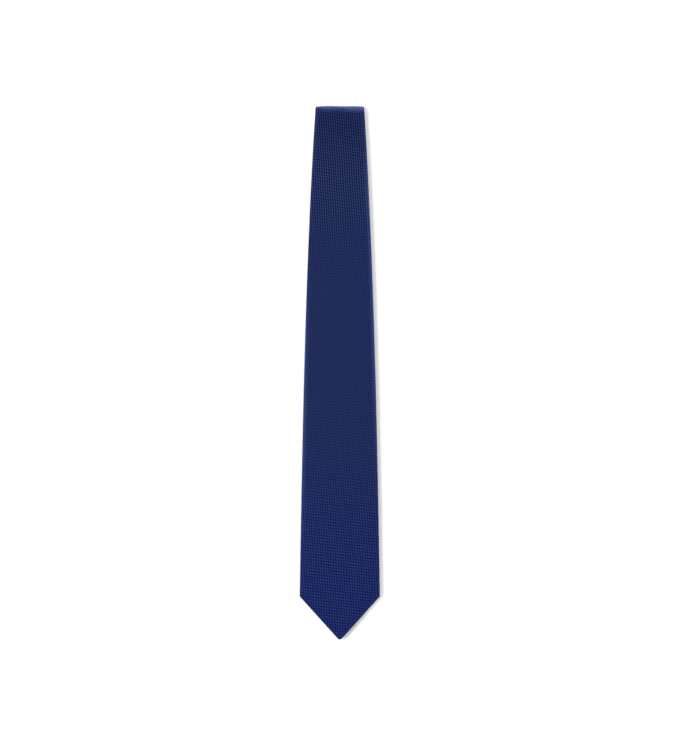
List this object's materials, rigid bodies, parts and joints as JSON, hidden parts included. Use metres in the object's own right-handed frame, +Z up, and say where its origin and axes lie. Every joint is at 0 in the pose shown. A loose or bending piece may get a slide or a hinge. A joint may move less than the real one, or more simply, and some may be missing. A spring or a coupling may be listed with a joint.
{
  "type": "necktie",
  "caption": "Man's woven silk necktie with a pointed blade, folded in three and lying face up, with interlining, tipping and keeper loop.",
  "frame": {"origin": "on the table, under the middle of the folded tie's box", "axes": "+Y along the tie from the blade's point to the top fold, +Z up out of the face of the blade, +X to the right when the face is looked at with the point below"},
  "size_m": [0.08, 0.532, 0.0105],
  "materials": {
    "silk": "navy silk in a small basket weave cut on the bias, with a soft sheen",
    "silk_thread": "navy sewing thread",
    "interlining": "napped natural wool interlining",
    "tipping": "navy satin lining",
    "label": "blank woven taffeta label"
  },
  "bodies": {
    "neck_layer": {"front_panel_end": "silk", "front_join_seam": "silk_thread", "neck_panel": "silk", "interlining_neck": "interlining", "slip_stitch_neck": "silk_thread", "front_panel_top_fold": "silk", "interlining_top_fold": "interlining", "slip_stitch_top_fold": "silk_thread", "neck_panel_bottom_fold": "silk", "interlining_bottom_fold": "interlining", "slip_stitch_bottom_fold": "silk_thread"},
    "front_layer": {"front_panel": "silk", "interlining_front": "interlining", "slip_stitch_front": "silk_thread", "front_tipping": "tipping", "front_bar_tack": "silk_thread", "keeper_loop": "silk", "keeper_tack_left": "silk_thread", "keeper_tack_right": "silk_thread", "care_label": "label", "label_stitch_left": "silk_thread", "label_stitch_right": "silk_thread"},
    "tail_layer": {"neck_panel_end": "silk", "tail_join_seam": "silk_thread", "tail_panel": "silk", "interlining_tail": "interlining", "slip_stitch_tail": "silk_thread", "tail_tipping": "tipping", "tail_bar_tack": "silk_thread"}
  },
  "joints": [
    {"name": "top_fold", "type": "hinge", "parent": "neck_layer", "child": "front_layer", "pos_m": [0, 0.2623, 0.0068], "axis": [-1, 0, 0], "range_deg": [0, 179.9], "deforming": ["front_panel_top_fold", "interlining_top_fold", "slip_stitch_top_fold"]},
    {"name": "bottom_fold", "type": "hinge", "parent": "neck_layer", "child": "tail_layer", "pos_m": [0, -0.22915, 0.00285], "axis": [-1, 0, 0], "range_deg": [0, 179.9], "deforming": ["neck_panel_bottom_fold", "interlining_bottom_fold", "slip_stitch_bottom_fold"]}
  ]
}
